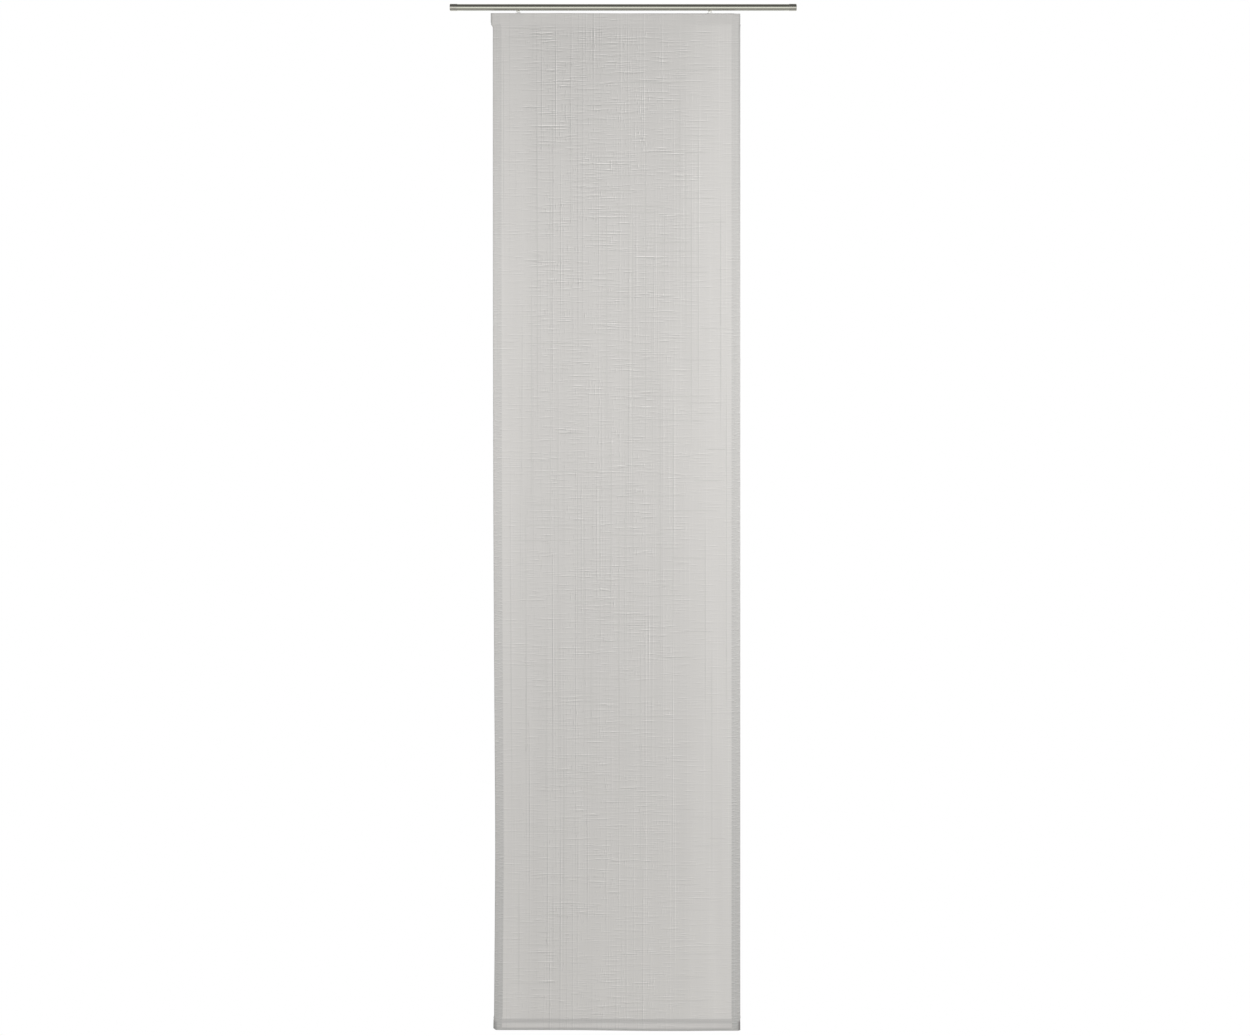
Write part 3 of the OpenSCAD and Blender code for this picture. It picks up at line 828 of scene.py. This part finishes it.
# %% Drawn and plated metals
def lined_metal(name, dark, pale, rough, line, line_long, depth):
    """A metal with lines along X that change its colour, its roughness and its level."""
    material, tree, place = new_material(name)
    stretched = add(tree, "Mapping", {"Vector": place, "Scale": (1 / line_long, 1 / line, 1 / line)})
    streaks = add(tree, "TexNoise", {"Vector": stretched, "Scale": 1.0, "Detail": 3.0,
                                     "Roughness": 0.6})
    colour = add(tree, "ValToRGB", (streaks,), [(0.35, dark), (0.65, pale)])
    gloss = add(tree, "MapRange", (streaks, *NOISE, *rough))
    bump = add(tree, "Bump", {"Height": streaks, "Strength": 0.3, "Distance": depth})
    shader = add(tree, "BsdfPrincipled", {"Base Color": colour, "Roughness": gloss, "Normal": bump,
                                          "Metallic": 1.0})
    add(tree, "OutputMaterial", (shader,))
    print(f"{name}: lines of {line / MM:.1f} by {line_long / MM:.0f} mm")
    return material


nickel = lined_metal("satin_nickel_plated_steel", "#d4d4c6", "#dadacc", rough=(0.14, 0.17),
                     line=1.2 * MM, line_long=250 * MM, depth=0.0005 * MM)
plated_abs = lined_metal("satin_nickel_plated_abs", "#cac8bd", "#d4d2c7", rough=(0.2, 0.28),
                         line=2 * MM, line_long=6 * MM, depth=0.004 * MM)
drawn = lined_metal("drawn_aluminium", "#c6c7c8", "#dbdcdc", rough=(0.25, 0.4),
                    line=0.5 * MM, line_long=120 * MM, depth=0.02 * MM)

# %% [markdown]
# ### Plastics and powder coat
#
# Moulded plastics are even in colour, with a fine texture from the mould's sparked steel. The shoes on
# the carrier's ends are polypropylene and the plugs in the weight bar are polyethylene, waxier and softer
# in gloss. A glider is natural white acetal. Its head, neck and collar, which run in the rail, are painted
# pale grey as the shade under the tube, and its clip below stays white. The carrier bar is extruded
# aluminium under a white powder coat, which has the same fine unevenness, only smoother.

# %% Moulded plastics
BORDER_SOFT = 0.1 * MM        # half the width of the line where the colours above and below a border meet


def moulded(name, colours, rough, grain, depth, upper=None, border=bottom):
    """A moulding with a sparked texture, and with other colours above a border if upper is given."""
    material, tree, place = new_material(name)
    height_of = add(tree, "SeparateXYZ", (place,)).outputs["Z"]
    sparked = add(tree, "TexNoise", {"Vector": place, "Scale": 1 / grain, "Detail": 4.0,
                                     "Roughness": 0.65})
    below, above = (add(tree, "ValToRGB", (sparked,), [(0.3, dark), (0.7, pale)])
                    for dark, pale in (colours, upper or colours))
    above_border = add(tree, "MapRange", (height_of, border - BORDER_SOFT, border + BORDER_SOFT))
    colour = add(tree, "Mix", {"Factor": above_border, COLOUR_A: below, COLOUR_B: above}, data_type="RGBA")
    gloss = add(tree, "MapRange", (sparked, *NOISE, *rough))
    bump = add(tree, "Bump", {"Height": sparked, "Strength": 0.3, "Distance": depth})
    shader = add(tree, "BsdfPrincipled", {"Base Color": colour.outputs[COLOUR_OUT],
                                          "Roughness": gloss, "Normal": bump, "IOR": 1.48})
    add(tree, "OutputMaterial", (shader,))
    print(f"{name}: grain of {grain / MM:.1f} mm")
    return material


# %% The mouldings and the coat
COLLAR_FOOT = -10.5 * MM    # under side of the glider's collar
powder_coat = moulded("white_powder_coated_aluminium", ("#ebeae7", "#f2f1ee"),
                      rough=(0.4, 0.5), grain=1.5 * MM, depth=0.02 * MM)
# Above the collar's foot the acetal is painted pale grey as the shade under the tube.
acetal = moulded("acetal_with_painted_tube_shade", ("#f6f6f4", "#fcfcfa"), rough=(0.3, 0.4),
                 grain=0.5 * MM, depth=0.01 * MM, upper=("#d8d6cf", "#e0ded7"), border=COLLAR_FOOT)
polypropylene = moulded("moulded_polypropylene", ("#d9d8d3", "#e3e2dd"),
                        rough=(0.35, 0.5), grain=0.4 * MM, depth=0.02 * MM)
polyethylene = moulded("moulded_polyethylene", ("#e6e6e3", "#f0f0ed"),
                       rough=(0.4, 0.5), grain=1.0 * MM, depth=0.01 * MM)

# %% [markdown]
# ### Hook and loop tapes
#
# Both tapes are woven nylon. The hook tape carries rows of small stiff hooks, 1.5 mm apart, that catch
# the light as points. The loop tape is brushed to a nap of fine loose loops, so it is dull and cloudy.

# %% Hook tape
HOOK_STEP = 1.5 * MM
hook_nylon, tree, place = new_material("woven_nylon_hook_tape")
hooks = add(tree, "TexVoronoi", {"Vector": place, "Scale": 1 / HOOK_STEP,
                                 "Randomness": 0.15}).outputs["Distance"]
hook_colour = add(tree, "ValToRGB", (hooks,), [(0.1, "#e6e5e0"), (0.5, "#b9b8b3")])
hook_bump = add(tree, "Bump", {"Height": hooks, "Strength": 0.8, "Distance": 0.5 * MM}, invert=True)
shader = add(tree, "BsdfPrincipled", {"Base Color": hook_colour, "Normal": hook_bump,
                                      "Roughness": 0.45})
add(tree, "OutputMaterial", (shader,))
print(f"{hook_nylon.name}: hooks {HOOK_STEP / MM} mm apart")

# %% Loop tape
NAP = 0.8 * MM
loop_nylon, tree, place = new_material("brushed_nylon_loop_tape")
loops = add(tree, "TexNoise", {"Vector": place, "Scale": 1 / NAP, "Detail": 4.0, "Distortion": 1.2})
loop_colour = add(tree, "ValToRGB", (loops,), [(0.3, "#c8c7c2"), (0.7, "#e8e7e3")])
loop_bump = add(tree, "Bump", {"Height": loops, "Strength": 0.7, "Distance": 0.3 * MM})
shader = add(tree, "BsdfPrincipled", {"Base Color": loop_colour, "Normal": loop_bump,
                                      "Roughness": 0.95, "Sheen Weight": 0.3})
add(tree, "OutputMaterial", (shader,))
print(f"{loop_nylon.name}: a nap of {NAP / MM} mm")

# %% Each CAD piece gets its finish
finishes = {
    "rail_tube": nickel, "rail_end_cap": plated_abs, "glider": acetal,
    "carrier_bar": powder_coat, "carrier_end_cap": polypropylene,
    "hook_tape": hook_nylon, "loop_tape": loop_nylon,
    "weight_bar": drawn, "weight_bar_cap": polyethylene,
}
slot_of = {part["node"]: part["material_slot"] for part in frame["record"]["subparts"]}
for name, node in frame["nodes"].items():
    if slot_of[name] in finishes:
        node.data.materials.clear()
        node.data.materials.append(finishes[slot_of[name]])
        print(f"{name}: {finishes[slot_of[name]].name}")

# %% [markdown]
# ## What moves with what
#
# The cloth hangs from the carrier, so it, its thick yarns and its stitches all ride on the body called
# panel. The sheet stands for the plain CAD cloth, which goes on working for collision.

# %% Riding, and hiding the CAD cloth
sewn_on = slubs + stitches
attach(cloth, "panel")
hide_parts("cloth_panel")
for piece in sewn_on:
    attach(piece, "panel")
print(len(sewn_on) + 1, "new pieces ride on the panel")

# %% [markdown]
# ## Studio
#
# The picture is front-on from far away, on white. The camera stands at half the panel's height with a
# long lens, so nothing tapers. The frame's 1250 pixels are laid over the width of wall that the panel's
# own size implies.

# %% Camera
FRAME_W, FRAME_H = 1250, 1036
PIXEL = 2.4086 * MM         # on the wall
RAIL_AXIS_ROW = 7.36        # pixel row of the rail's axis
RAIL_MIDDLE_COLUMN = 623.2  # pixel column of the rail's middle
CAMERA_BACK = 12.0          # from the cloth's front
SENSOR = 36                 # in millimetres, as the lens is

camera = bpy.data.objects.new("camera", bpy.data.cameras.new("camera"))
bpy.context.scene.collection.objects.link(camera)
rail_pixel = PIXEL * (CAMERA_BACK - cloth_front) / CAMERA_BACK  # the rail is a little further off
camera.location = ((FRAME_W / 2 - RAIL_MIDDLE_COLUMN) * rail_pixel, cloth_front - CAMERA_BACK,
                   -(FRAME_H / 2 - RAIL_AXIS_ROW) * rail_pixel)
camera.rotation_euler = (math.pi / 2, 0, 0)
camera.data.sensor_width = SENSOR
camera.data.lens = SENSOR * CAMERA_BACK / (FRAME_W * PIXEL)
camera.data.clip_end = 100
bpy.context.scene.camera = camera
print(f"camera at {[round(v, 3) for v in camera.location]}, lens {camera.data.lens:.1f} mm")

# %% [markdown]
# The floor is a disc of white paper a little below the panel. The room is a tent: bright in a band at eye
# level in front and behind, darker at the sides so that the folded edges show, and dark overhead, which is
# what draws the dark line along the top of the tube. The camera itself sees plain white.

# %% Floor
FLOOR_BELOW = 0.3
FLOOR_RADIUS = 1.15
PAPER_FIBRE = 8 * MM
deselect_everything()
bpy.ops.mesh.primitive_circle_add(vertices=96, radius=FLOOR_RADIUS, fill_type="NGON",
                                  location=(middle, 0, bottom - FLOOR_BELOW))
bpy.ops.object.transform_apply()
floor = bpy.context.object
floor.name = "studio_floor"
floor.visible_glossy = False
paper, tree, place = new_material("white_paper_floor")
fibres = add(tree, "TexNoise", {"Vector": place, "Scale": 1 / PAPER_FIBRE, "Detail": 4.0})
paper_colour = add(tree, "ValToRGB", (fibres,), [(0.3, "#f0efec"), (0.7, "#f5f4f2")])
shader = add(tree, "BsdfPrincipled", {"Base Color": paper_colour, "Roughness": 0.9})
add(tree, "OutputMaterial", (shader,))
floor.data.materials.append(paper)
print(f"floor {FLOOR_BELOW / MM:.0f} mm below the panel")

# %% Tent
# Brightness in front, from the floor to overhead: the place along the ramp, and the level there
TENT = ((0.05, 0.80), (0.14, 0.42), (0.30, 0.42), (0.40, 1.42), (0.50, 1.42), (0.61, 0.17))
TENT_LIGHT = 0.42           # how strongly the tent lights cloth
TENT_MIRRORED = 1.0         # how strongly it shows in metal
BACK = 0.3, 0.8             # how far round to the back the white wall begins and is whole
SIDE, SIDE_LEVEL = (0.1, 0.55), 0.25  # how far round the dark sides reach, and their level
WHITE = (1, 1, 1, 1)

world = bpy.data.worlds.new("white_tent")
world.use_nodes = True
bpy.context.scene.world = world
tree = world.node_tree
tree.nodes.clear()
around = add(tree, "SeparateXYZ", (add(tree, "TexCoord").outputs["Generated"],)).outputs
up = add(tree, "MapRange", (around["Z"], -1.0))
band = add(tree, "ValToRGB", (up,), [(at, (level, level, level, 1)) for at, level in TENT])
behind = add(tree, "MapRange", (around["Y"], *BACK))
walls = add(tree, "Mix", {"Factor": behind, COLOUR_A: band, COLOUR_B: WHITE}, data_type="RGBA")
facing = add(tree, "Math", (around["Y"],), operation="ABSOLUTE")
sides = add(tree, "MapRange", (facing, *SIDE, SIDE_LEVEL, 1.0))
ray = add(tree, "LightPath").outputs
glossy = add(tree, "MapRange", (ray["Is Glossy Ray"], 0.0, 1.0, TENT_LIGHT, TENT_MIRRORED))
strength = add(tree, "Math", (sides, glossy), operation="MULTIPLY")
tent = add(tree, "Background", {"Color": walls.outputs[COLOUR_OUT], "Strength": strength})
backdrop = add(tree, "Background", {"Color": WHITE, "Strength": 1.0})
seen = add(tree, "MixShader", (ray["Is Camera Ray"], tent, backdrop))
add(tree, "OutputWorld", (seen,))
print(f"{world.name}: {len(TENT)} levels from the floor to overhead")

# %% Lamps
# Soft boxes that light but aren't mirrored in the metal: place, aim, width and height, and watts
LAMPS = {
    "key": ((1.7, -2.2, 0.0), (0, 0, -2.0), (1.4, 1.4), 31.2),
    "side": ((1.5, -1.2, -0.8), (0.2, 0, -0.8), (0.6, 1.4), 13.6),
    "fill": ((-1.2, -2.6, -1.6), (0, 0, -1.4), (1.6, 2.4), 29.3),
    "left": ((-1.2, -0.9, -0.6), (-0.1, 0, -0.6), (0.4, 1.2), 6.1),
    "foot": ((0.25, -1.1, -2.75), (0.05, 0, -2.5), (1.0, 0.4), 3.5),
    "back": ((0.6, 2.6, -0.6), (0, 0, -1.3), (1.6, 2.4), 45),
}
for name, (place, aim, size, watts) in LAMPS.items():
    lamp = bpy.data.objects.new(name, bpy.data.lights.new(name, "AREA"))
    lamp.data.shape = "RECTANGLE"
    lamp.data.size, lamp.data.size_y = size
    lamp.data.energy = watts
    lamp.location = place
    lamp.rotation_euler = (Vector(aim) - lamp.location).to_track_quat("-Z", "Y").to_euler()
    lamp.visible_glossy = False
    bpy.context.scene.collection.objects.link(lamp)
    print(f"{name} lamp: {watts} W")
bpy.context.scene.view_settings.view_transform = "Standard"
